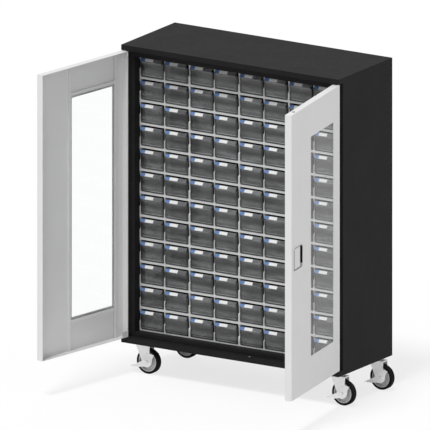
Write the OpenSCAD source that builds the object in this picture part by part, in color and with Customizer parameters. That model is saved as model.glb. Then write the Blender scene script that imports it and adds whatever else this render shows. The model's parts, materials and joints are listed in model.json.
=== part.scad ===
// Mobile parts cabinet: a steel body on four swivel casters, two doors with
// tall windows, and four stacks of two-cell moulded shells that hold the bins.
// Millimetres. +Z up, +Y towards the back, origin on the floor under the
// middle of the space that the cabinet takes up with its doors open.

/* [Cabinet body] */
// Height of the top fascia and of the base ledge
lip_h = 32; // [26:1:50]
// How far the top and the base reach forward of the body's face
overhang = 48; // [47:1:60]
// Thickness of the body's sheet steel
sheet = 2; // [1.5:0.5:2.5]
// Width of the face beside the racks
side_margin = 66; // [50:1:100]
// Height of the sill face under the racks
sill_h = 28; // [16:1:60]
// Height of the header face over the racks
header_h = 42.6; // [20:0.1:80]
// Distance from the body's face back to the racks' front
rack_setback = 54; // [30:1:80]
// Free depth behind the racks, in front of the back panel
rear_gap = 16; // [4:1:60]
// How far the face's returns run on along the racks
return_lap = 10; // [4:1:30]

/* [Shells] */
// Width of one shell, which holds two bins side by side
shell_w = 348; // [320:1:380]
// Height from one row of shells to the next
row_pitch = 141.2; // [135:0.2:160]
// Depth of a shell
shell_d = 480; // [470:1:520]
// Thickness of a shell's sides
rim_side = 5.5; // [4:0.5:8]
// Thickness of a shell's top and floor
rim_end = 6.5; // [4:0.5:8]
// Thickness of the wall between a shell's two cells
divider = 6; // [3:0.5:10]
// Radius of a cell's bottom corners
cell_r = 10; // [6:0.5:20]
// How deep the uprights' front edges are scooped
scoop = 9; // [4:0.5:10]
// Height of the step under the scoop, from the cell's floor
scoop_z = 54; // [40:1:70]

/* [Bins] */
// Side clearance between a bin and its cell
bin_gap = 1; // [0.8:0.1:2]
// Clearance under a bin
bin_lift = 0.4; // [0.3:0.05:0.8]
// Wall thickness of a bin
bin_wall = 2; // [1.5:0.25:3]
// Height of a bin's front at its lip
bin_front_h = 96; // [80:1:103]
// How far the front leans out from its foot to its lip
bin_lean = 9; // [6:1:20]
// How far a bin's lip stands in front of the racks
lip_reach = 10; // [4:1:24]
// Radius of a bin's upright front corners
front_r = 9.5; // [6:0.5:14]
// Radius of the bend from a bin's floor to its front
toe_r = 12; // [6:0.5:16]
// Slope length of the label holder
label_len = 24; // [16:1:24]
// Slope of the label holder from the level
label_slope = 52; // [40:1:60]
// Width of the label holder
label_w = 150; // [60:1:152]
// Distance from a bin's side to its label holder
label_in = 4; // [4:0.5:8]
// Distance from a bin's back to its shell's back
bin_back = 30; // [20:1:180]
// Radius of the bead along a bin's lip
bead_r = 2.5; // [2:0.25:2.8]

/* [Doors] */
// Thickness of a door
door_t = 43; // [38:1:44]
// Clearance over, under and between the doors
door_gap = 4.6; // [4.2:0.1:8]
// Thickness of a door's sheet
skin = 1.5; // [1:0.25:2]
// How far the doors are swung open
door_open = 100; // [0:5:180]
// Distance from a door's corner to its pivot, both ways
pivot_in = 6.5; // [6.4:0.1:8]
// Radius of a pivot pin
pin_r = 4; // [3:0.25:4.5]
// Width of the hem round a door's inner side
return_w = 4; // [2:0.5:12]
// Distance from a door's hinge edge to its window
window_in = 97; // [80:1:140]
// Width of a window
window_w = 358; // [250:1:370]
// Margin above and below a window
window_margin = 204; // [120:1:300]
// Radius of a window's corners
window_r = 6; // [4:1:20]
// Width of the pane's margin between a window and its channels
ring_w = 14; // [8:1:20]
// Width of the channels round a window
channel_w = 19; // [14:1:40]
// Height of the channels over a door's sheet
channel_h = 8.5; // [8:0.5:14]
// Thickness of the window pane
pane_t = 4; // [3:0.5:5]

/* [Latch] */
// Width of the handle's cup
cup_w = 140; // [120:1:150]
// Height of the handle's cup
cup_h = 143; // [130:1:180]
// Depth of the handle's cup
cup_d = 34; // [32:1:34]
// Distance from the door's free edge to the cup
cup_in = 32; // [28:1:80]
// Height of the cup's centre over the floor
cup_z = 1087; // [900:1:1200]
// Thickness of the cup's walls
cup_wall = 2; // [1.5:0.5:3]
// Width of the finger slot beside the paddle
finger_slot = 31; // [28:1:50]
// Thickness of the paddle
paddle_t = 6; // [4:0.5:8]
// Radius of a latch rod
rod_r = 5; // [4:0.5:5]
// How far a latch rod travels
rod_throw = 15.9; // [12:0.1:20]
// Half of the angle that the latch cam turns through
cam_half = 25; // [20:1:30]

/* [Casters] */
// Height from the floor to the mounting face
caster_h = 192; // [190:1:210]
// Diameter of a wheel
wheel_d = 152.4; // [145:0.2:155]
// Width of a tyre
tyre_w = 38; // [30:1:40]
// Thickness of a tyre
tyre_t = 15; // [10:1:20]
// Offset of the wheel's axle from the swivel axis
trail = 61; // [50:1:70]
// Distance from the body's sides to the swivel axes
caster_in_x = 78; // [70:1:100]
// Distance from the top's front edge to the front swivel axes
caster_in_front = 90; // [80:1:120]
// Distance from the back to the rear swivel axes
caster_in_back = 84; // [80:1:120]
// Radius of the foot of a fork's leg
foot_r = 31; // [24:1:34]
// Thickness of a fork's legs
leg_t = 4; // [3:0.5:6]
// Radius of a wheel's axle
axle_r = 6; // [5:0.5:8]

/* [Hidden] */

$fn = 48;
eps = 1; // overrun of a cut past the face that it opens

racks = 4;
rows = 12;
fit = 0.05; // radial clearance of a pin or shaft in its bore
seam = 0.1; // parting gap between stacked shells

// The body's size follows from the shells that it holds.
cab_w = racks * shell_w + 2 * side_margin;
stack_h = rows * row_pitch;
face_y = overhang;
rack_y = face_y + rack_setback;
cab_d = rack_y + shell_d + rear_gap + sheet;
base_z = caster_h;
ledge_z = base_z + lip_h;
stack_z = ledge_z + sill_h;
stack_top = stack_z + stack_h;
fascia_z = stack_top + header_h;
cab_top = fascia_z + lip_h;

// Cells and bins
cell_w = (shell_w - 2 * rim_side - divider) / 2;
cell_h = row_pitch - 2 * rim_end;
cell_pitch = cell_w + divider;
bin_w = cell_w - 2 * bin_gap;
bin_len = shell_d - bin_back; // from the racks' front
bin_r = cell_r - bin_gap;
lean = atan(bin_lean / bin_front_h);
bead_y = bead_r - lip_reach;
bin_foot_y = bead_y + bin_lean - bin_wall / 2;
label_rise = label_len * sin(label_slope);
bin_side_h = bin_front_h + label_rise;

// Doors: u runs from the pivot to the free edge, v from the front face inwards
door_edge = 1; // gap between a door's hinge edge and the body's side plane
door_z = ledge_z + door_gap;
door_h = fascia_z - door_gap - door_z;
pivot_x = cab_w / 2 - door_edge - pivot_in;
pivot_y = door_edge + pivot_in;
door_u = pivot_x - door_gap / 2;
door_w = door_u + pivot_in;
window_h = door_h - 2 * window_margin;
channel_t = 1.5;
pane_lap = ring_w + channel_t + 1.5;
back_v = door_t - skin;
channel_v = skin + channel_h - channel_t;
back_of_channel = channel_v + channel_t;

// The rest box runs from the open doors' free corners to the back.
front_reach = door_open <= 90
  ? pivot_y - door_u * sin(door_open) - pivot_in * cos(door_open)
  : pivot_y - door_u * sin(door_open) + (door_t - pivot_in) * cos(door_open);
box_front = min(0, front_reach);
shift_y = -(box_front + cab_d) / 2;

// Pivot bushes
bush_r = door_edge + pivot_in - sheet - 0.1;
bush_rim = 1.9;
bush_flange = 1.5;
bush_len = 8;
shoulder_r = 6;
shoulder_gap = 0.1;

// Latch
cup_u = door_u - cup_in - cup_w / 2;
cup_r = 18;
cup_fit = 0.3;
cup_rim = 7;
cup_rim_t = 1.2;
hinge_pin_r = 2.5;
barrel_r = 5;
paddle_gap = 6.5;
paddle_in = 2.5; // depth of the paddle's face in its cup
paddle_u = cup_u + cup_w / 2 - cup_wall - 9;
paddle_v = barrel_r + paddle_in;
paddle_from = cup_u - cup_w / 2 + cup_wall + finger_slot;
cam_t = 3;
cam_stud_r = 4;
cam_pin_r = 3;
cam_arm = rod_throw / 2 / sin(cam_half);
cam_r = cam_arm + 9;
rod_off = cam_arm * cos(cam_half) + 0.9;
cam_v = cup_d + 1.2;
strap_v = cam_v + cam_t + 0.4;
strap_t = 2;
strap_w = 15;
rod_v = door_t / 2;
rod_bush_r = 9;
guide_z = 320; // from the door's edge to the far side of a rod's guide block
guide_h = 18;
guide_w = 24;
rod_upper_u = cup_u + rod_off;
rod_lower_u = cup_u - rod_off;

// Casters
plate_t = 6;
plate_x = 102;
plate_y = 114;
bolt_x = 38;
bolt_y = 46;
bolt_r = 5;
bolt_hole = 5.25;
bolt_head = 6.4;
hex_r = 9.8;
rail_t = 3;
rail_w = 130;
race_r = 36;
race_h = 8;
race_gap = 0.5;
crown_t = 6;
kingpin_r = 6;
nut_r = 11;
wheel_r = wheel_d / 2;
hub_w = tyre_w + 6;
leg_y = hub_w / 2 + 1;
crown_z = caster_h - plate_t - race_h - race_gap;
crown_r = 47;
boss_r = 16;
arm_y = leg_y + leg_t + 0.5;
arm_t = 3;
axle_half = arm_y + arm_t + 0.5;
tread = 28; // length of the brake's foot tread
caster_x = cab_w / 2 - caster_in_x;
CASTER_AT = [
  [-caster_x, caster_in_front], [caster_x, caster_in_front],
  [-caster_x, cab_d - caster_in_back], [caster_x, cab_d - caster_in_back]
];

// ---- shapes used by several pieces ----

// Puts a piece drawn from the top's front edge into the cabinet's own frame.
module placed() translate([0, shift_y, 0]) children();

// Extrudes an X-Z outline along +Y.
module along_y(from, length)
  translate([0, from + length, 0]) rotate([90, 0, 0]) linear_extrude(length) children();

// Extrudes a Y-Z outline along +X.
module along_x(from, length)
  translate([from, 0, 0]) rotate([90, 0, 90]) linear_extrude(length) children();

// A box from its lowest corner to its highest.
module block(low, high) translate(low) cube(high - low);

// A rectangle with round corners, its lower left corner at the origin.
module round_rect(w, h, r) {
  translate([r, 0]) square([w - 2 * r, h]);
  translate([0, r]) square([w, h - 2 * r]);
  for (x = [r, w - r], y = [r, h - r]) translate([x, y]) circle(r);
}

// A rectangle whose two lower corners are round, centred on x.
module tub_rect(w, h, r) {
  translate([r - w / 2, 0]) square([w - 2 * r, h]);
  translate([-w / 2, r]) square([w, h - r]);
  for (s = [-1, 1]) translate([s * (w / 2 - r), r]) circle(r);
}

// ---- cabinet body ----

module top_panel() color("#3a3a3a") difference() {
  block([-cab_w / 2, 0, fascia_z], [cab_w / 2, cab_d, cab_top]);
  block([sheet - cab_w / 2, sheet, fascia_z + sheet],
        [cab_w / 2 - sheet, cab_d - sheet, cab_top - sheet]);
  block([sheet - cab_w / 2, face_y + sheet, fascia_z - eps],
        [cab_w / 2 - sheet, cab_d - sheet, fascia_z + sheet + eps]);
  for (s = [-1, 1]) translate([s * pivot_x, pivot_y, fascia_z - eps])
    cylinder(r = bush_r, h = sheet + 2 * eps);
  translate([pivot_x - rod_upper_u, door_edge + rod_v, fascia_z - eps])
    cylinder(r = rod_r + 1.5, h = sheet + 2 * eps);
}

module base_panel() color("#3a3a3a") difference() {
  block([-cab_w / 2, 0, base_z], [cab_w / 2, cab_d, ledge_z]);
  block([sheet - cab_w / 2, sheet, base_z - eps],
        [cab_w / 2 - sheet, cab_d - sheet, ledge_z - sheet]);
  for (s = [-1, 1]) translate([s * pivot_x, pivot_y, ledge_z - sheet - eps])
    cylinder(r = bush_r, h = sheet + 2 * eps);
  translate([pivot_x - rod_lower_u, door_edge + rod_v, ledge_z - sheet - eps])
    cylinder(r = rod_r + 1.5, h = sheet + 2 * eps);
}

// One folded sheet: the side, the face beside the racks and the return behind it.
module side_panel() color("#3a3a3a") {
  inner = side_margin;
  translate([-cab_w / 2, 0, ledge_z]) linear_extrude(fascia_z - ledge_z) union() {
    translate([0, face_y]) square([sheet, cab_d - sheet - face_y]);
    translate([0, face_y]) square([inner, sheet]);
    translate([inner - sheet, face_y]) square([sheet, rack_setback + return_lap]);
    translate([0, cab_d - 2 * sheet]) square([side_margin / 2, sheet]);
  }
}

module back_panel() color("#3a3a3a")
  block([-cab_w / 2, cab_d - sheet, ledge_z], [cab_w / 2, cab_d, fascia_z]);

// The faces over and under the racks, each folded back over or under them.
module header_rail() color("#2e2e2e") {
  half = cab_w / 2 - side_margin;
  block([-half, face_y, stack_top], [half, face_y + sheet, fascia_z]);
  block([-half, face_y, stack_top], [half, rack_y + return_lap, stack_top + sheet]);
}

module sill_plinth() color("#2e2e2e") {
  half = cab_w / 2 - side_margin;
  depth = rack_y + shell_d;
  block([-half, face_y, ledge_z], [half, face_y + sheet, stack_z]);
  block([-half, face_y, stack_z - sheet], [half, depth, stack_z]);
  block([-half, depth - sheet, ledge_z], [half, depth, stack_z]);
}

// A flanged bush with its flange at z = 0 and its barrel above it.
module bush() difference() {
  union() {
    translate([0, 0, -bush_flange]) cylinder(r = bush_r + bush_rim, h = bush_flange);
    cylinder(r = bush_r - fit, h = bush_len);
  }
  translate([0, 0, -bush_flange - eps]) cylinder(r = pin_r + fit, h = bush_len + 4 * eps);
}

module pivot_bushes() color("#202020") for (s = [-1, 1]) {
  translate([s * pivot_x, pivot_y, fascia_z]) bush();
  translate([s * pivot_x, pivot_y, ledge_z]) mirror([0, 0, 1]) bush();
}

// ---- shells and bins ----

// The two cells of a shell, seen from the front.
module cells() for (s = [-1, 1])
  translate([s * cell_pitch / 2, rim_end]) tub_rect(cell_w, cell_h, cell_r);

// The scoop that is cut into the front edge of every upright.
module scoop_cut() {
  low = rim_end + scoop_z;
  high = row_pitch - rim_end - 2;
  reach = high - low;
  r = (reach * reach + scoop * scoop) / (2 * scoop);
  intersection() {
    translate([scoop - r, low]) circle(r, $fn = 180);
    translate([-eps, low]) square([scoop + 2 * eps, reach]);
  }
  // the rounded step under the scoop ends in a small flat
  drop = 1.5;
  land = scoop - 0.8;
  nose = (land * land + scoop * scoop + 2 * scoop * drop) / (2 * land);
  difference() {
    translate([-eps, low - scoop - eps]) square([land + eps, scoop + eps]);
    translate([nose, low - scoop - drop]) circle(norm([nose, drop]));
  }
}

module shell() difference() {
  along_y(0, shell_d)
    translate([(seam - shell_w) / 2, 0]) square([shell_w - seam, row_pitch - seam]);
  along_y(-eps, shell_d + 2 * eps) cells();
  along_x(-shell_w / 2 - eps, shell_w + 2 * eps) scoop_cut();
}

module bin_shells(k) color("#c4c4c4") for (row = [0 : rows - 1])
  translate([(k - (racks + 1) / 2) * shell_w, rack_y, stack_z + row * row_pitch]) shell();

// A bin's outline from the side, inset for its hollow: a level floor that bends
// up into the leaning front, the slope under the label and an upright back.
module bin_side(inset) {
  r = toe_r - inset;
  near = inset + 0.98 * r; // the bend meets the floor and the front at a slight angle
  at = [bin_foot_y + near * (1 - sin(lean)) / cos(lean), near];
  out = 2 * r * [-cos(lean), -sin(lean)];
  front = bin_foot_y + inset / cos(lean);
  difference() {
    if (inset > 0)
      polygon([
        [front - inset * tan(lean), inset], [front - (bin_side_h + eps) * tan(lean), bin_side_h + eps],
        [bin_len - inset, bin_side_h + eps], [bin_len - inset, inset]
      ]);
    else
      polygon([
        [front, 0], [front - bin_lean, bin_front_h], [bead_y, bin_front_h],
        [bead_y + label_len * cos(label_slope), bin_side_h], [bin_len, bin_side_h], [bin_len, 0]
      ]);
    difference() {
      polygon([at, at + out, at + out - [0, 2 * r], at - [0, 2 * r]]);
      translate(at) circle(r);
    }
  }
}

// A bin's bulk, or its hollow: the side's outline, the front's outline and the
// round upright corners, which lean with the front.
module bin_bulk(inset) {
  slip = 0.1;
  intersection() {
    along_x(-bin_w / 2 - eps, bin_w + 2 * eps) bin_side(inset);
    along_y(-lip_reach - 5 * eps, bin_len + lip_reach + 10 * eps) translate([0, inset])
      tub_rect(bin_w - 2 * inset, bin_side_h + 2 * eps, bin_r - inset);
    translate([0, bin_foot_y, 0]) rotate([lean, 0, 0]) translate([0, inset - slip, -bin_len / 2])
      linear_extrude(bin_len)
        tub_rect(bin_w - 2 * (inset - slip), 1.2 * bin_len, front_r - inset + slip);
  }
}

module bin_body() {
  difference() {
    bin_bulk(0);
    bin_bulk(bin_wall);
  }
  // bead along the lip
  translate([front_r - 1 - bin_w / 2, bead_y, bin_front_h]) rotate([0, 90, 0])
    cylinder(r = bead_r, h = bin_w - 2 * (front_r - 1));
  // label holder: a plate on the slope with a rail at its foot and at its head
  translate([label_in - bin_w / 2, bead_y, bin_front_h]) rotate([label_slope, 0, 0]) {
    translate([0, -1, -0.5]) cube([label_w, label_len + 1, bin_wall + 0.5]);
    for (y = [-1, label_len - 2]) translate([0, y, 0]) cube([label_w, 2, bin_wall + 1]);
  }
}

module bins_row(row) color("#6e7276") for (k = [0 : racks - 1], s = [-1, 1])
  translate([
    (k - (racks - 1) / 2) * shell_w + s * cell_pitch / 2, rack_y,
    stack_z + (row - 1) * row_pitch + rim_end + bin_lift
  ]) bin_body();

// ---- doors ----
// A door is drawn closed, from its pivot: x is u, y is v less pivot_in, z is up
// from the door's lower edge. The hung modules swing it open on its pivots.

module hung_left() translate([-pivot_x, pivot_y, door_z])
  rotate([0, 0, -door_open]) translate([0, -pivot_in, 0]) children();

module hung_right() translate([pivot_x, pivot_y, door_z])
  rotate([0, 0, door_open]) mirror([1, 0, 0]) translate([0, -pivot_in, 0]) children();

module window_2d(grow) translate([window_in - pivot_in - grow, window_margin - grow])
  round_rect(window_w + 2 * grow, window_h + 2 * grow, window_r + grow);

module door_skin() difference() {
  block([-pivot_in, 0, 0], [door_u, door_t, door_h]);
  block([skin - pivot_in, skin, skin], [door_u - skin, back_v, door_h - skin]);
  block([return_w - pivot_in, back_v - eps, return_w],
        [door_u - return_w, door_t + eps, door_h - return_w]);
  along_y(-eps, skin + 2 * eps) window_2d(0);
  for (z = [-eps, door_h - skin - eps]) translate([0, pivot_in, z])
    cylinder(r = pin_r + 0.2, h = skin + 2 * eps);
}

// Channel section: a web on the inner side and two legs towards the skin.
// The leg beside the window stops on the pane.
module channel_2d() {
  translate([0, channel_v]) square([channel_w, channel_t]);
  translate([0, skin]) square([channel_t, channel_v - skin + 1]);
  translate([channel_w - channel_t, skin + pane_t]) square([channel_t, channel_v - skin - pane_t + 1]);
}

module door_frame() {
  left = window_in - pivot_in - ring_w;
  right = left + window_w + 2 * ring_w;
  foot = window_margin - ring_w - channel_w;
  translate([left - channel_w, 0, skin]) linear_extrude(door_h - 2 * skin) channel_2d();
  translate([right + channel_w, 0, skin]) mirror([1, 0, 0])
    linear_extrude(door_h - 2 * skin) channel_2d();
  for (top = [0, 1])
    translate([left, 0, top ? door_h - foot : foot])
      mirror([0, 0, top]) rotate([90, 0, 90]) linear_extrude(right - left)
        mirror([1, -1]) channel_2d();
  // the cross channels' webs run on over those of the uprights
  for (low = [foot, door_h - foot - channel_w])
    block([left - channel_w / 2, channel_v, low], [right + channel_w / 2, back_of_channel, low + channel_w]);
}

module door_pane() along_y(skin, pane_t)
  translate([window_in - pivot_in - pane_lap, window_margin - pane_lap])
    round_rect(window_w + 2 * pane_lap, window_h + 2 * pane_lap, window_r);

// A pivot pin with its shoulder, welded to a plate inside the door's corner.
module pivot() {
  plate_u = 48;
  plate_z = 36;
  low = skin - pivot_in;
  high = back_v - 1;
  block([low, skin, -skin - 3], [low + plate_u, high, -skin]);
  block([low, high - 3, -skin - plate_z], [low + plate_u, high, -skin]);
  translate([0, pivot_in, -skin - 20])
    cylinder(r = pin_r, h = skin + 20 + door_gap + sheet + bush_len - 3);
  translate([0, pivot_in, 0])
    cylinder(r = shoulder_r, h = door_gap - bush_flange - shoulder_gap);
}

module door_pivots() {
  translate([0, 0, door_h]) pivot();
  mirror([0, 0, 1]) pivot();
}

module door_left_skin() color("#d8d8d8") hung_left() door_skin();
module door_left_frame() color("#d8d8d8") hung_left() door_frame();
module door_left_pane() color("#dfe6ea", 0.3) hung_left() door_pane();
module door_left_pivots() color("#9a9a9a") hung_left() door_pivots();

module door_right_skin() color("#d8d8d8") hung_right() difference() {
  door_skin();
  along_y(-eps, skin + 2 * eps)
    translate([cup_u - cup_w / 2, cup_z - door_z - cup_h / 2]) round_rect(cup_w, cup_h, cup_r);
  translate([rod_upper_u, rod_v, door_h - skin - eps])
    cylinder(r = rod_bush_r - 3, h = skin + 2 * eps);
  translate([rod_lower_u, rod_v, -eps])
    cylinder(r = rod_bush_r - 3, h = skin + 2 * eps);
}
module door_right_frame() color("#d8d8d8") hung_right() door_frame();
module door_right_pane() color("#dfe6ea", 0.3) hung_right() door_pane();
module door_right_pivots() color("#9a9a9a") hung_right() door_pivots();

// ---- latch, drawn in the right door's u, v and z ----

module at_cup() hung_right() translate([cup_u, 0, cup_z - door_z]) children();

module cup_2d(inset) translate([inset - cup_w / 2, inset - cup_h / 2])
  round_rect(cup_w - 2 * inset, cup_h - 2 * inset, cup_r - inset);

module handle_cup() color("#d0d0d0") at_cup() {
  difference() {
    union() {
      along_y(-cup_rim_t, cup_rim_t) cup_2d(-cup_rim);
      along_y(0, cup_d) cup_2d(cup_fit);
      translate([0, cup_d, 0]) rotate([-90, 0, 0]) cylinder(r = 6, h = 1);
    }
    along_y(-2 * eps, cup_d - cup_wall + 2 * eps) cup_2d(cup_wall);
    translate([paddle_u - cup_u, paddle_v, -cup_h / 2])
      cylinder(r = hinge_pin_r + fit, h = cup_h);
  }
  // stud that the cam turns on, with its head
  translate([0, cup_d, 0]) rotate([-90, 0, 0]) cylinder(r = cam_stud_r, h = 1.4 + cam_t);
  translate([0, cam_v + cam_t + 0.2, 0]) rotate([-90, 0, 0]) cylinder(r = 6.5, h = 2);
}

module handle_pin() color("#909090") at_cup()
  translate([paddle_u - cup_u, paddle_v, -cup_h / 2]) cylinder(r = hinge_pin_r, h = cup_h);

module handle_paddle() color("#c8c8c8") at_cup() {
  half = cup_h / 2 - cup_wall - paddle_gap;
  low = paddle_from - cup_u;
  high = paddle_u - cup_u;
  difference() {
    union() {
      along_y(paddle_in, paddle_t) translate([low, -half]) round_rect(high - low + 4, 2 * half, 4);
      translate([high, paddle_v, -half]) cylinder(r = barrel_r, h = 2 * half);
      along_y(paddle_in, paddle_t + 3) translate([low, -half]) square([3, 2 * half]);
    }
    translate([high, paddle_v, -half - eps])
      cylinder(r = hinge_pin_r + fit, h = 2 * half + 2 * eps);
  }
}

// The cam stands at the unlatched end of its turn.
module latch_cam() color("#8c8c8c") at_cup() {
  rotate([0, cam_half, 0]) {
    difference() {
      along_y(cam_v, cam_t) {
        circle(11);
        translate([-cam_arm, -6]) square([2 * cam_arm, 12]);
        for (s = [-1, 1]) translate([s * cam_arm, 0]) circle(7);
      }
      along_y(cam_v - eps, cam_t + 2 * eps) circle(cam_stud_r + fit);
    }
    for (s = [-1, 1]) translate([s * cam_arm, cam_v + cam_t / 2, 0]) rotate([-90, 0, 0])
      cylinder(r = cam_pin_r, h = cam_t / 2 + strap_t + 0.8);
  }
}

// A latch rod: its round part runs in the door's thickness, and a strap behind
// the cup ends in a cross slot that takes the cam's pin.
module latch_rod(u, length) {
  pin_z = -cam_arm * sin(cam_half);
  slot = 2.2;
  bend_z = cup_h / 2 + 22;
  difference() {
    union() {
      along_y(strap_v, strap_t)
        translate([u - strap_w / 2, pin_z - 8]) square([strap_w, bend_z - pin_z + 8]);
      along_y(rod_v, strap_v + strap_t - rod_v)
        translate([u - rod_r, bend_z - 10]) square([2 * rod_r, 10]);
      translate([u, rod_v, bend_z - 10]) cylinder(r = rod_r, h = length - bend_z + 10);
    }
    along_y(strap_v - eps, strap_t + 2 * eps) translate([u, pin_z]) {
      square([2 * slot, 2 * cam_pin_r + 0.6], center = true);
      for (s = [-1, 1]) translate([s * slot, 0]) circle(cam_pin_r + 0.3);
    }
  }
}

module latch_rod_upper() color("#a8a8a8") at_cup()
  latch_rod(rod_off, door_z + door_h - cup_z);

module latch_rod_lower() color("#a8a8a8") at_cup()
  mirror([0, 0, 1]) latch_rod(-rod_off, cup_z - door_z);

// A flanged bush in the door's edge and a guide block on the skin for each rod.
module rod_guide() {
  difference() {
    union() {
      cylinder(r = rod_bush_r, h = 1);
      translate([0, 0, -skin - 6]) cylinder(r = rod_bush_r - 3 - fit, h = skin + 6);
      translate([0, 0, -skin - 6]) cylinder(r = rod_bush_r, h = 6 - fit);
    }
    translate([0, 0, -10 * eps]) cylinder(r = rod_r + fit, h = 20 * eps);
  }
  difference() {
    block([-guide_w / 2, skin - rod_v, -guide_z], [guide_w / 2, rod_r + 3, guide_h - guide_z]);
    translate([0, 0, -guide_z - eps]) cylinder(r = rod_r + fit, h = guide_h + 2 * eps);
  }
}

module rod_guides() color("#2a2a2a") hung_right() {
  translate([rod_upper_u, rod_v, door_h]) rod_guide();
  translate([rod_lower_u, rod_v, 0]) mirror([0, 0, 1]) rod_guide();
}

// ---- casters ----

module caster_rails() color("#333333") difference() {
  for (s = [-1, 1])
    along_y(sheet, cab_d - 2 * sheet) translate([s * caster_x - rail_w / 2, base_z]) difference() {
      square([rail_w, lip_h - sheet]);
      translate([rail_t, rail_t]) square([rail_w - 2 * rail_t, lip_h]);
    }
  bolt_places() translate([0, 0, -eps]) cylinder(r = bolt_hole, h = rail_t + 2 * eps);
}

module bolt_places() for (at = CASTER_AT, x = [-1, 1], y = [-1, 1])
  translate([at[0] + x * bolt_x, at[1] + y * bolt_y, base_z]) children();

module caster_plates() color("#8a8a8a") for (at = CASTER_AT) translate([at[0], at[1], base_z]) {
  difference() {
    translate([-plate_x / 2, -plate_y / 2, -plate_t])
      linear_extrude(plate_t) round_rect(plate_x, plate_y, 8);
    for (x = [-1, 1], y = [-1, 1]) translate([x * bolt_x, y * bolt_y, -plate_t - eps])
      cylinder(r = bolt_hole, h = plate_t + 2 * eps);
  }
  translate([0, 0, -plate_t - race_h]) cylinder(r = race_r, h = race_h);
  translate([0, 0, crown_z - crown_t - base_z - 9]) cylinder(r = kingpin_r, h = 25);
  translate([0, 0, crown_z - crown_t - base_z - 0.3 - 8]) cylinder(r = nut_r, h = 8, $fn = 6);
}

module caster_bolts() color("#3c3c3c") bolt_places() {
  translate([0, 0, -plate_t - bolt_head]) cylinder(r = hex_r, h = bolt_head, $fn = 6);
  translate([0, 0, -plate_t - eps]) cylinder(r = bolt_r, h = plate_t + rail_t + 12);
}

module caster_nuts() color("#3c3c3c") bolt_places() translate([0, 0, rail_t]) difference() {
  cylinder(r = hex_r, h = 8, $fn = 6);
  translate([0, 0, -eps]) cylinder(r = bolt_r + fit, h = 8 + 2 * eps);
}

// Everything below the mounting plate trails towards +X.
module at_caster(n) translate([CASTER_AT[n - 1][0], CASTER_AT[n - 1][1], 0]) children();
module at_wheel(n) at_caster(n) translate([trail, 0, wheel_r]) children();

// One leg, seen from the side with the axle at the origin: its front edge slopes
// back from the crown to the foot, its rear edge is upright.
module leg_2d() {
  top = crown_z - crown_t / 2 - wheel_r;
  rear = 19.5;
  front = acos(foot_r / norm([57, 57])) + 135;
  circle(foot_r);
  polygon([
    [0, 0], foot_r * [cos(front), sin(front)], [-57, 57], [-57 - (top - 57) / 2, top],
    [rear, top], [rear, 0]
  ]);
}

module fork() {
  difference() {
    union() {
      translate([0, 0, crown_z - crown_t]) intersection() {
        linear_extrude(crown_t) translate([-crown_r, -leg_y - leg_t])
          square([crown_r + trail + 19.5, 2 * (leg_y + leg_t)]);
        linear_extrude(crown_t) union() {
          circle(crown_r);
          translate([0, -crown_r]) square(2 * crown_r);
        }
      }
      for (from = [leg_y, -leg_y - leg_t]) along_y(from, leg_t)
        translate([trail, wheel_r]) leg_2d();
    }
    translate([0, 0, crown_z - crown_t - eps]) cylinder(r = kingpin_r + fit, h = crown_t + 2 * eps);
    along_y(-leg_y - leg_t - eps, 2 * (leg_y + leg_t + eps))
      translate([trail, wheel_r]) circle(axle_r + fit);
  }
}

module axle() rotate([90, 0, 0]) {
  cylinder(r = axle_r, h = 2 * axle_half, center = true);
  for (s = [-1, 1]) translate([0, 0, s * (axle_half + 3)])
    cylinder(r = 10, h = 6, center = true, $fn = 6);
}

module caster_fork(n) color("#c9c9c9") {
  at_caster(n) fork();
  at_wheel(n) axle();
}

// The brake lever: a side plate outside each leg, on the axle, with a horn behind
// it and a foot tread in front of the tyre that joins the two plates.
module caster_brake(n) color("#c9c9c9") at_wheel(n) {
  near = wheel_r + 8;
  out = [cos(200), sin(200)];
  up = [cos(110), sin(110)];
  difference() {
    union() {
      for (from = [arm_y, -arm_y - arm_t]) along_y(from, arm_t) polygon([
        [-37, 0], (near - 4) * out + 6 * up, (near + 12) * out + 5 * up,
        (near + 14) * out - 6 * up, [-56, -38], [-18, -31], [9, -32], [30, -18], [37, -2],
        [39, 19], [53, 47], [21, 55], [-8, 30]
      ]);
      // the tread is let into the side plates and ends in a rolled edge
      along_y(-arm_y - arm_t / 2, 2 * arm_y + arm_t) {
        polygon([
          near * out + 1.5 * up, (near + tread) * out + 1.5 * up,
          (near + tread) * out - 1.5 * up, near * out - 1.5 * up
        ]);
        translate((near + tread) * out) circle(2.4);
      }
    }
    along_y(-arm_y - arm_t - eps, 2 * (arm_y + arm_t + eps)) circle(axle_r + fit);
  }
}

module caster_hub(n) color("#9c9c9c") at_wheel(n) rotate([90, 0, 0]) rotate_extrude() difference() {
  union() {
    translate([axle_r + fit, -hub_w / 2]) square([boss_r - axle_r, hub_w]);
    translate([boss_r - 2, -5]) square([wheel_r - tyre_t - boss_r, 10]);
    translate([wheel_r - tyre_t - 6, 1 - tyre_w / 2]) square([6, tyre_w - 2]);
  }
}

module caster_tyre(n) color("#1e1e1e") at_wheel(n) rotate([90, 0, 0]) rotate_extrude()
  translate([wheel_r - tyre_t, -tyre_w / 2]) {
    square([tyre_t - 5, tyre_w]);
    translate([0, 5]) square([tyre_t, tyre_w - 10]);
    for (y = [5, tyre_w - 5]) translate([tyre_t - 5, y]) circle(5);
  }

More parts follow.
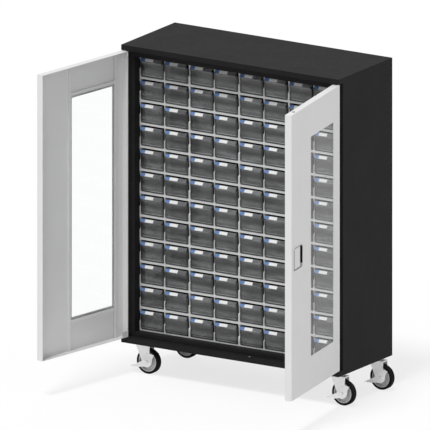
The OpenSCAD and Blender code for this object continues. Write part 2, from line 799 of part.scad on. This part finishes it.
placed() top_panel();
placed() base_panel();
placed() side_panel();  // side_panel_left
placed() mirror([1, 0, 0]) side_panel();  // side_panel_right
placed() back_panel();
placed() header_rail();
placed() sill_plinth();
placed() pivot_bushes();
placed() caster_rails();
placed() caster_plates();
placed() caster_bolts();
placed() caster_nuts();
placed() bin_shells(1);  // bin_shells_1
placed() bin_shells(2);  // bin_shells_2
placed() bin_shells(3);  // bin_shells_3
placed() bin_shells(4);  // bin_shells_4
placed() bins_row(1);  // bins_row_01
placed() bins_row(2);  // bins_row_02
placed() bins_row(3);  // bins_row_03
placed() bins_row(4);  // bins_row_04
placed() bins_row(5);  // bins_row_05
placed() bins_row(6);  // bins_row_06
placed() bins_row(7);  // bins_row_07
placed() bins_row(8);  // bins_row_08
placed() bins_row(9);  // bins_row_09
placed() bins_row(10);  // bins_row_10
placed() bins_row(11);  // bins_row_11
placed() bins_row(12);  // bins_row_12
placed() door_left_skin();
placed() door_left_frame();
placed() door_left_pane();
placed() door_left_pivots();
placed() door_right_skin();
placed() door_right_frame();
placed() door_right_pane();
placed() door_right_pivots();
placed() handle_cup();
placed() handle_pin();
placed() handle_paddle();
placed() latch_cam();
placed() latch_rod_upper();
placed() latch_rod_lower();
placed() rod_guides();
placed() caster_fork(1);  // caster_1_fork
placed() caster_brake(1);  // caster_1_brake
placed() caster_hub(1);  // caster_1_hub
placed() caster_tyre(1);  // caster_1_tyre
placed() caster_fork(2);  // caster_2_fork
placed() caster_brake(2);  // caster_2_brake
placed() caster_hub(2);  // caster_2_hub
placed() caster_tyre(2);  // caster_2_tyre
placed() caster_fork(3);  // caster_3_fork
placed() caster_brake(3);  // caster_3_brake
placed() caster_hub(3);  // caster_3_hub
placed() caster_tyre(3);  // caster_3_tyre
placed() caster_fork(4);  // caster_4_fork
placed() caster_brake(4);  // caster_4_brake
placed() caster_hub(4);  // caster_4_hub
placed() caster_tyre(4);  // caster_4_tyre
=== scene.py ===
"""Dresses the parts bin cabinet's CAD frame: materials, labels, painted shade in the handle, studio
and camera.
"""
import json
import math

import bmesh
import bpy
from mathutils import Matrix, Vector


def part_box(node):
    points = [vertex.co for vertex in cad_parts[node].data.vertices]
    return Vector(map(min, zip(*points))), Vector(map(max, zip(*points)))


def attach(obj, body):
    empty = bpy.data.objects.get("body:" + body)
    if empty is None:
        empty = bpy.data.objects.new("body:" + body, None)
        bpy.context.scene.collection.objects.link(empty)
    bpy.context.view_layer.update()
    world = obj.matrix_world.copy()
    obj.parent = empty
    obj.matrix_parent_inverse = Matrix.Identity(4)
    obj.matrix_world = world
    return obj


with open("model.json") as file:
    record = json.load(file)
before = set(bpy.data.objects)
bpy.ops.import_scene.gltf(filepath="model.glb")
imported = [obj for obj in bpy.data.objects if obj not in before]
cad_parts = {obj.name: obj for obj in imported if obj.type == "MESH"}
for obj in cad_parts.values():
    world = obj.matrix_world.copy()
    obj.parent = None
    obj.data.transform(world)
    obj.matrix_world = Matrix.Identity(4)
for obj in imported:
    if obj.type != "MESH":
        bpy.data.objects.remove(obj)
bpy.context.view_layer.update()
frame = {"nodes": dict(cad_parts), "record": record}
NODES = frame["nodes"]

# ---- measures, in millimetres and degrees ----------------------------------

MM = 0.001  # metres in a millimetre

STACKS, ROWS = 4, 12
STACK_W = 348.0  # a stack of shells, two cells wide
ROW_H = 141.2  # from one row to the next
CELL_W = 171.5  # from one cell of a shell to the other
BIN_W = 163.5
BIN_LIFT = 6.9  # a bin's underside over its shell's underside
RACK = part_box("bin_shells_1")[0]
RACK_Y, RACK_Z = RACK.y / MM, RACK.z / MM
RACK_SETBACK = 102.0  # the racks' front behind the top's front edge
TOP_FRONT_Y = RACK_Y - RACK_SETBACK

# a label holder, from the left end of its foot: w across, up the slope and out from it
HOLDER_Y, HOLDER_Z, HOLDER_SLOPE = -7.5, 96.0, 52
TAB_W, CARD_W, RIB_W = (1.2, 32.6), (33.0, 89.0), (92.0, 152.0)
LABEL_UP, LABEL_OUT, LABEL_CORNER, CORNER_STEPS = (2.0, 21.6), (2.0, 2.6), 0.8, 2
RIBS, RIB_FIRST, RIB_PITCH, RIB_H, RIB_OUT = 8, 2.2, 2.45, 1.1, (1.8, 2.9)

# the right door: its pivot from the middle and the top's front edge, and its angle at rest
PIVOT_X, PIVOT_Y, PIVOT_TO_FACE, DOOR_ANGLE = 754.5, 7.5, 6.5, 100
CUP_U, CUP_Z = 650.2, 1087.0  # the cup's centre, from the pivot and from the ground
# painted shade in the cup, as dark blocks: low and high corner, (across, in from the outer face,
# up) from its centre
SLOT_SHADE_BLOCK = ((-68.1, -0.6, -48.0), (-67.3, 31.9, 66.0))
SIDE_SHADE_STRIP = ((64.6, 0.4, -69.0), (68.1, 2.2, 69.0))
TOP_SHADE_STRIP = ((-60.0, 0.4, 65.6), (64.6, 2.2, 69.6))
PADDLE_SHADE_STRIP = ((53.0, 2.0, -62.0), (62.6, 2.7, 62.0))

# ---- looks -----------------------------------------------------------------

# share of the smoke tint, as painted highlight and shade up one row and across half a cell, and in
# streaks (place, share)
UP_PAINTED_LIGHT = (
    (0.05, 0.05), (0.095, 0.16), (0.130, 0.95), (0.165, 0.36),
    (0.30, 0.46), (0.48, 0.16), (0.66, 0.30), (0.74, 0.75),
)
ACROSS_PAINTED_SHADE = ((0.0, 1.0), (0.72, 0.92), (0.88, 0.25), (1.0, 0.05))
STREAK_SHADES = ((0.30, 0.55), (0.70, 1.35))
NOISE_MIDDLE = (0.35, 0.65)  # the noise values between which one colour turns into the other
BEVEL_SAMPLES = 4
PLASTIC_IOR = 1.49
PANE_IOR = 1.18  # low, so that little of the studio is mirrored in the panes

WORLD_LIGHT, KEY_LIGHT = 0.60, 0.74
KEY_TOWARDS, KEY_ANGLE = (0.0, -0.375, 0.927), 14
FLOOR_HALF = 40.0  # metres
FLOOR_GLOW = 0.75  # how much of the floor that is seen is plain white

CAMERA_AZIMUTH, CAMERA_ELEVATION = 32.07, 15.0
CAMERA_TARGET, CAMERA_WIDTH = (-0.2924, 0.3698, 0.9719), 2.553  # metres
CAMERA_DISTANCE, CAMERA_REACH = 12, 100.0  # metres

# ---- material helpers ------------------------------------------------------


def new_material(name):
    mat = bpy.data.materials.new(name)
    mat.use_nodes = True
    tree = mat.node_tree
    tree.nodes.clear()
    out = tree.nodes.new("ShaderNodeOutputMaterial")
    shader = tree.nodes.new("ShaderNodeBsdfPrincipled")
    tree.links.new(shader.outputs["BSDF"], out.inputs["Surface"])
    return mat, tree, shader


def set_inputs(node, values):
    for name, value in values.items():
        node.inputs[name].default_value = value


def grey(v):
    return (v, v, v)


def maths(tree, kind, a, b=None):
    """A maths node on a socket and a socket or a number."""
    node = tree.nodes.new("ShaderNodeMath")
    node.operation = kind
    for socket, value in zip(node.inputs, (a, b)):
        if isinstance(value, (int, float)):
            socket.default_value = value
        elif value is not None:
            tree.links.new(value, socket)
    return node.outputs[0]


def noise(tree, scale, detail, stretch=None):
    """A noise value in the object's own coordinates, with scale in waves to a metre."""
    place = tree.nodes.new("ShaderNodeTexCoord").outputs["Object"]
    if stretch:
        mapping = tree.nodes.new("ShaderNodeMapping")
        mapping.inputs["Scale"].default_value = stretch
        tree.links.new(place, mapping.inputs["Vector"])
        place = mapping.outputs["Vector"]
    tex = tree.nodes.new("ShaderNodeTexNoise")
    set_inputs(tex, {"Scale": scale, "Detail": detail})
    tree.links.new(place, tex.inputs["Vector"])
    return tex.outputs["Fac"]


def ramp(tree, value, stops):
    """A colour ramp on a value; each stop is a place and a colour."""
    node = tree.nodes.new("ShaderNodeValToRGB")
    elements = node.color_ramp.elements
    while len(elements) < len(stops):
        elements.new(0.5)
    for element, (place, colour) in zip(elements, stops):
        element.position = place
        element.color = (*colour, 1)
    tree.links.new(value, node.inputs["Fac"])
    return node.outputs["Color"]


def grey_ramp(tree, value, shades):
    return ramp(tree, value, [(place, grey(v)) for place, v in shades])


def vary_colour(tree, shader, low, high, scale):
    stops = list(zip(NOISE_MIDDLE, (low, high)))
    colour = ramp(tree, noise(tree, scale, detail=3.0), stops)
    tree.links.new(colour, shader.inputs["Base Color"])


def vary_roughness(tree, shader, low, high, scale):
    span = tree.nodes.new("ShaderNodeMapRange")
    set_inputs(span, {"To Min": low, "To Max": high})
    tree.links.new(noise(tree, scale, detail=2.0), span.inputs["Value"])
    tree.links.new(span.outputs["Result"], shader.inputs["Roughness"])


def bump(tree, shader, scale, strength, distance, detail=2.0, stretch=None, edge=0.0):
    """Fine relief of a depth in metres, with edges that look rounded to a radius in metres."""
    node = tree.nodes.new("ShaderNodeBump")
    set_inputs(node, {"Strength": strength, "Distance": distance})
    tree.links.new(noise(tree, scale, detail, stretch), node.inputs["Height"])
    if edge:
        soft = tree.nodes.new("ShaderNodeBevel")
        soft.samples = BEVEL_SAMPLES
        soft.inputs["Radius"].default_value = edge
        tree.links.new(soft.outputs["Normal"], node.inputs["Normal"])
    tree.links.new(node.outputs["Normal"], shader.inputs["Normal"])


# ---- materials -------------------------------------------------------------


def powder_coat(name, low, high, rough, spec=0.5):
    mat, tree, shader = new_material(name)
    vary_colour(tree, shader, low, high, scale=5.0)
    vary_roughness(tree, shader, rough - 0.05, rough + 0.06, scale=30.0)
    bump(tree, shader, scale=900.0, strength=0.25, distance=0.0002, edge=0.0012)
    shader.inputs["Specular IOR Level"].default_value = spec
    return mat


def moulded(name, low, high, rough, grain=700.0, depth=0.00012, edge=0.0008, spec=0.5):
    mat, tree, shader = new_material(name)
    vary_colour(tree, shader, low, high, scale=9.0)
    vary_roughness(tree, shader, rough - 0.04, rough + 0.05, scale=40.0)
    bump(tree, shader, grain, strength=0.3, distance=depth, edge=edge)
    shader.inputs["Specular IOR Level"].default_value = spec
    return mat


def printed_card(name, low, high, rough, spec):
    return moulded(name, low, high, rough, grain=2500.0, depth=0.00003, edge=0.0, spec=spec)


def plated(name, low, high, rough, metallic):
    mat, tree, shader = new_material(name)
    vary_colour(tree, shader, low, high, scale=12.0)
    vary_roughness(tree, shader, rough - 0.06, rough + 0.08, scale=60.0)
    bump(tree, shader, scale=300.0, strength=0.12, distance=0.0001, stretch=(1, 1, 14), edge=0.0006)
    shader.inputs["Metallic"].default_value = metallic
    return mat


def smoked(name, tint, rough, transmission):
    """Smoke-tinted plastic, with painted light in its tint: a painted highlight at the foot's
    bend and along the lip, painted shade half way up and at both upright corners."""
    mat, tree, shader = new_material(name)
    stack, row, half_cell = STACK_W * MM, ROW_H * MM, CELL_W * MM / 2
    split = tree.nodes.new("ShaderNodeSeparateXYZ")
    coord = tree.nodes.new("ShaderNodeTexCoord")
    tree.links.new(coord.outputs["Object"], split.inputs["Vector"])
    # up: 0 to 1 over each row, from the shell's underside
    up = maths(tree, "SUBTRACT", split.outputs["Z"], RACK.z)
    up = maths(tree, "DIVIDE", maths(tree, "MODULO", up, row), row)
    # across: 0 at a cell's middle, 1 half a cell pitch to either side
    left_edge = -STACKS / 2 * stack
    across = maths(tree, "SUBTRACT", split.outputs["X"], left_edge)
    across = maths(tree, "MODULO", across, stack)
    across = maths(tree, "ABSOLUTE", maths(tree, "SUBTRACT", across, stack / 2))
    across = maths(tree, "ABSOLUTE", maths(tree, "SUBTRACT", across, half_cell))
    across = maths(tree, "DIVIDE", across, half_cell)
    streaks = noise(tree, 9.0, detail=4.0, stretch=(1.0, 1.0, 3.5))
    # painted light: the tint's share, paler where a highlight is painted and darker where shade is
    # painted
    painted_light_share = maths(
        tree, "MULTIPLY", grey_ramp(tree, up, UP_PAINTED_LIGHT), grey_ramp(tree, across, ACROSS_PAINTED_SHADE)
    )
    painted_light_share = maths(tree, "MULTIPLY", painted_light_share, grey_ramp(tree, streaks, STREAK_SHADES))
    colour = tree.nodes.new("ShaderNodeMix")
    colour.data_type = "RGBA"
    set_inputs(colour, {"A": (0, 0, 0, 1), "B": (*tint, 1)})
    tree.links.new(painted_light_share, colour.inputs["Factor"])
    tree.links.new(colour.outputs["Result"], shader.inputs["Base Color"])
    vary_roughness(tree, shader, rough - 0.03, rough + 0.05, scale=50.0)
    bump(tree, shader, scale=60.0, strength=0.06, distance=0.0004, edge=0.0008)
    set_inputs(shader, {"IOR": PLASTIC_IOR, "Transmission Weight": transmission})
    return mat


def clear(name):
    mat, tree, shader = new_material(name)
    vary_roughness(tree, shader, 0.02, 0.06, scale=8.0)
    bump(tree, shader, scale=3.0, strength=0.03, distance=0.001, detail=1.0)
    set_inputs(shader, {
        "Base Color": (0.99, 0.995, 0.998, 1), "IOR": PANE_IOR,
        "Specular IOR Level": 0.25, "Transmission Weight": 1.0,
    })
    return mat


BLACK = powder_coat("black_powder_coat", grey(0.0142), grey(0.0164), 0.48, spec=0.05)
WHITE = powder_coat("white_powder_coat", grey(0.670), grey(0.686), 0.38)
SHELL = moulded("light_grey_shell", grey(0.51), grey(0.55), 0.45)
SMOKE = smoked("smoke_clear_bin", (0.50, 0.51, 0.52), 0.08, 0.55)
ZINC = plated("bright_zinc", grey(0.80), grey(0.90), 0.40, metallic=0.45)
NYLON = moulded("black_nylon", grey(0.010), grey(0.016), 0.6, spec=0.1)
HUB = moulded("grey_wheel_centre", grey(0.56), grey(0.62), 0.5)
TYRE = moulded("black_tyre", grey(0.008), grey(0.013), 0.7, grain=1400.0, depth=0.0002, spec=0.06)
BLUE = printed_card("blue_card", (0.045, 0.125, 0.31), (0.05, 0.135, 0.335), 0.52, spec=1.0)
CARD = printed_card("white_card", grey(0.66), grey(0.70), 0.22, spec=0.8)
PANE = clear("clear_acrylic")

SLOT_MATERIALS = {
    "paint_black": BLACK, "paint_white": WHITE, "shell_grey": SHELL,
    "bin_smoke": SMOKE, "pane_clear": PANE, "zinc_steel": ZINC,
    "bush_black": NYLON, "hub_grey": HUB, "tyre_black": TYRE,
}
for part in frame["record"]["subparts"]:
    obj = NODES[part["node"]]
    obj.data.materials.clear()
    obj.data.materials.append(SLOT_MATERIALS[part["material_slot"]])

# ---- mesh helpers ----------------------------------------------------------


def piece(name, bm, material, body):
    mesh = bpy.data.meshes.new(name)
    bmesh.ops.recalc_face_normals(bm, faces=bm.faces)
    bm.to_mesh(mesh)
    bm.free()
    mesh.materials.append(material)
    obj = bpy.data.objects.new(name, mesh)
    bpy.context.scene.collection.objects.link(obj)
    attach(obj, body)


def prism(bm, outline, place, depths):
    """A closed prism on an outline of points (a, b), between two depths c. place(a, b, c) puts
    its points in place."""
    rings = [[bm.verts.new(place(a, b, c)) for a, b in outline] for c in depths]
    n = len(outline)
    for i in range(n):
        j = (i + 1) % n
        bm.faces.new((rings[0][i], rings[0][j], rings[1][j], rings[1][i]))
    bm.faces.new(rings[0][::-1])
    bm.faces.new(rings[1])


def oblong(xs, ys):
    return [(xs[0], ys[0]), (xs[1], ys[0]), (xs[1], ys[1]), (xs[0], ys[1])]


def rounded(xs, ys, r, steps):
    """An oblong with round corners, from the far corner on, anticlockwise."""
    left, right, low, high = xs[0] + r, xs[1] - r, ys[0] + r, ys[1] - r
    pts = []
    for quarter, (cx, cy) in enumerate(((right, high), (left, high), (left, low), (right, low))):
        for i in range(steps + 1):
            a = math.radians(90 * (quarter + i / steps))
            pts.append((cx + r * math.cos(a), cy + r * math.sin(a)))
    return pts


# ---- bins ------------------------------------------------------------------


def bin_origins(row):
    """The middle of the front of each bin's underside, in a row counted from 1."""
    z = RACK_Z + (row - 1) * ROW_H + BIN_LIFT
    for stack in range(STACKS):
        for side in (-1, 1):
            x = (stack - (STACKS - 1) / 2) * STACK_W + side * CELL_W / 2
            yield (x, RACK_Y, z)


def on_holder(origin):
    """Maps a label's width, height up the slope and thickness to the frame."""
    c, s = math.cos(math.radians(HOLDER_SLOPE)), math.sin(math.radians(HOLDER_SLOPE))
    ox, oy, oz = origin

    def place(w, up, out):
        return (
            (ox - BIN_W / 2 + w) * MM,
            (oy + HOLDER_Y + up * c - out * s) * MM,
            (oz + HOLDER_Z + up * s + out * c) * MM,
        )

    return place


TAB_OUTLINE = rounded(TAB_W, LABEL_UP, LABEL_CORNER, CORNER_STEPS)
CARD_OUTLINE = rounded(CARD_W, LABEL_UP, LABEL_CORNER, CORNER_STEPS)
for row in range(1, ROWS + 1):
    body = f"bin_row_{row:02d}"
    tabs, cards, grips = bmesh.new(), bmesh.new(), bmesh.new()
    for origin in bin_origins(row):
        place = on_holder(origin)
        prism(tabs, TAB_OUTLINE, place, LABEL_OUT)
        prism(cards, CARD_OUTLINE, place, LABEL_OUT)
        # ribs on the free part of the holder, for the thumb
        for i in range(RIBS):
            foot = RIB_FIRST + RIB_PITCH * i
            prism(grips, oblong(RIB_W, (foot, foot + RIB_H)), place, RIB_OUT)
    piece(f"grip_ribs_{row:02d}", grips, SMOKE, body)
    piece(f"label_tabs_{row:02d}", tabs, BLUE, body)
    piece(f"label_cards_{row:02d}", cards, CARD, body)

# ---- handle ----------------------------------------------------------------


def on_right_door(u, v, z):
    """Maps the closed right door to rest: u from the pivot, v in from the outer face and z up
    from the cup's centre."""
    c, s = math.cos(math.radians(DOOR_ANGLE)), math.sin(math.radians(DOOR_ANGLE))
    x, y = -u, v - PIVOT_TO_FACE
    return (
        (PIVOT_X + x * c - y * s) * MM,
        (PIVOT_Y + TOP_FRONT_Y + x * s + y * c) * MM,
        (CUP_Z + z) * MM,
    )


def cup_block(bm, corners):
    across, depths, up = zip(*corners)
    prism(bm, oblong(across, up), lambda a, b, c: on_right_door(CUP_U + a, c, b), depths)


# painted shade: dark blocks where the cup's finger slot and its side and top rims lie in shade
cup_shade = bmesh.new()
for corners in (SLOT_SHADE_BLOCK, SIDE_SHADE_STRIP, TOP_SHADE_STRIP):
    cup_block(cup_shade, corners)
piece("handle_painted_shade", cup_shade, NYLON, "right_door")
# painted shade: a dark strip on the paddle beside the cup's side rim, where shade falls
edge = bmesh.new()
cup_block(edge, PADDLE_SHADE_STRIP)
piece("paddle_painted_shade", edge, NYLON, "paddle")

# ---- floor, light and camera -----------------------------------------------

mat, tree, shader = new_material("floor_white")
vary_colour(tree, shader, grey(0.80), grey(0.815), scale=0.7)
set_inputs(shader, {"Roughness": 0.9, "Specular IOR Level": 0.1})
# what is seen of the floor, also in metal and through glass, is mostly plain white, and the
# object's shadow is kept faintly
paths = tree.nodes.new("ShaderNodeLightPath")
seen = maths(tree, "MAXIMUM", paths.outputs["Is Camera Ray"], paths.outputs["Is Glossy Ray"])
seen = maths(tree, "MAXIMUM", seen, paths.outputs["Is Transmission Ray"])
glow = tree.nodes.new("ShaderNodeEmission")
both = tree.nodes.new("ShaderNodeMixShader")
tree.links.new(maths(tree, "MULTIPLY", seen, FLOOR_GLOW), both.inputs["Fac"])
tree.links.new(shader.outputs["BSDF"], both.inputs[1])
tree.links.new(glow.outputs["Emission"], both.inputs[2])
tree.links.new(both.outputs["Shader"], tree.nodes["Material Output"].inputs["Surface"])

floor_mesh = bpy.data.meshes.new("floor")
span = (-FLOOR_HALF, FLOOR_HALF)
floor_mesh.from_pydata([(x, y, 0) for x, y in oblong(span, span)], [], [(0, 1, 2, 3)])
floor_mesh.materials.append(mat)
floor = bpy.data.objects.new("floor", floor_mesh)
bpy.context.scene.collection.objects.link(floor)

world = bpy.data.worlds.new("studio")
bpy.context.scene.world = world
world.use_nodes = True
set_inputs(world.node_tree.nodes["Background"], {"Color": (1, 1, 1, 1), "Strength": WORLD_LIGHT})


def sun(name, towards, factor, angle):
    """A soft directional light; factor is the brightness of a white card that faces it."""
    data = bpy.data.lights.new(name, "SUN")
    data.energy = factor * math.pi
    data.angle = math.radians(angle)
    obj = bpy.data.objects.new(name, data)
    obj.rotation_euler = Vector(towards).to_track_quat("Z", "Y").to_euler()
    bpy.context.scene.collection.objects.link(obj)


sun("key", KEY_TOWARDS, KEY_LIGHT, KEY_ANGLE)

AZ, EL = math.radians(CAMERA_AZIMUTH), math.radians(CAMERA_ELEVATION)
forward = Vector((-math.sin(AZ) * math.cos(EL), math.cos(AZ) * math.cos(EL), -math.sin(EL)))
right = Vector((math.cos(AZ), math.sin(AZ), 0.0))
turn = Matrix((right, right.cross(forward), -forward)).transposed().to_4x4()
data = bpy.data.cameras.new("camera")
data.type = "ORTHO"
data.ortho_scale = CAMERA_WIDTH
data.clip_end = CAMERA_REACH
camera = bpy.data.objects.new("camera", data)
bpy.context.scene.collection.objects.link(camera)
camera.matrix_world = Matrix.Translation(Vector(CAMERA_TARGET) - forward * CAMERA_DISTANCE) @ turn
bpy.context.scene.camera = camera
bpy.context.scene.view_settings.view_transform = "Standard"
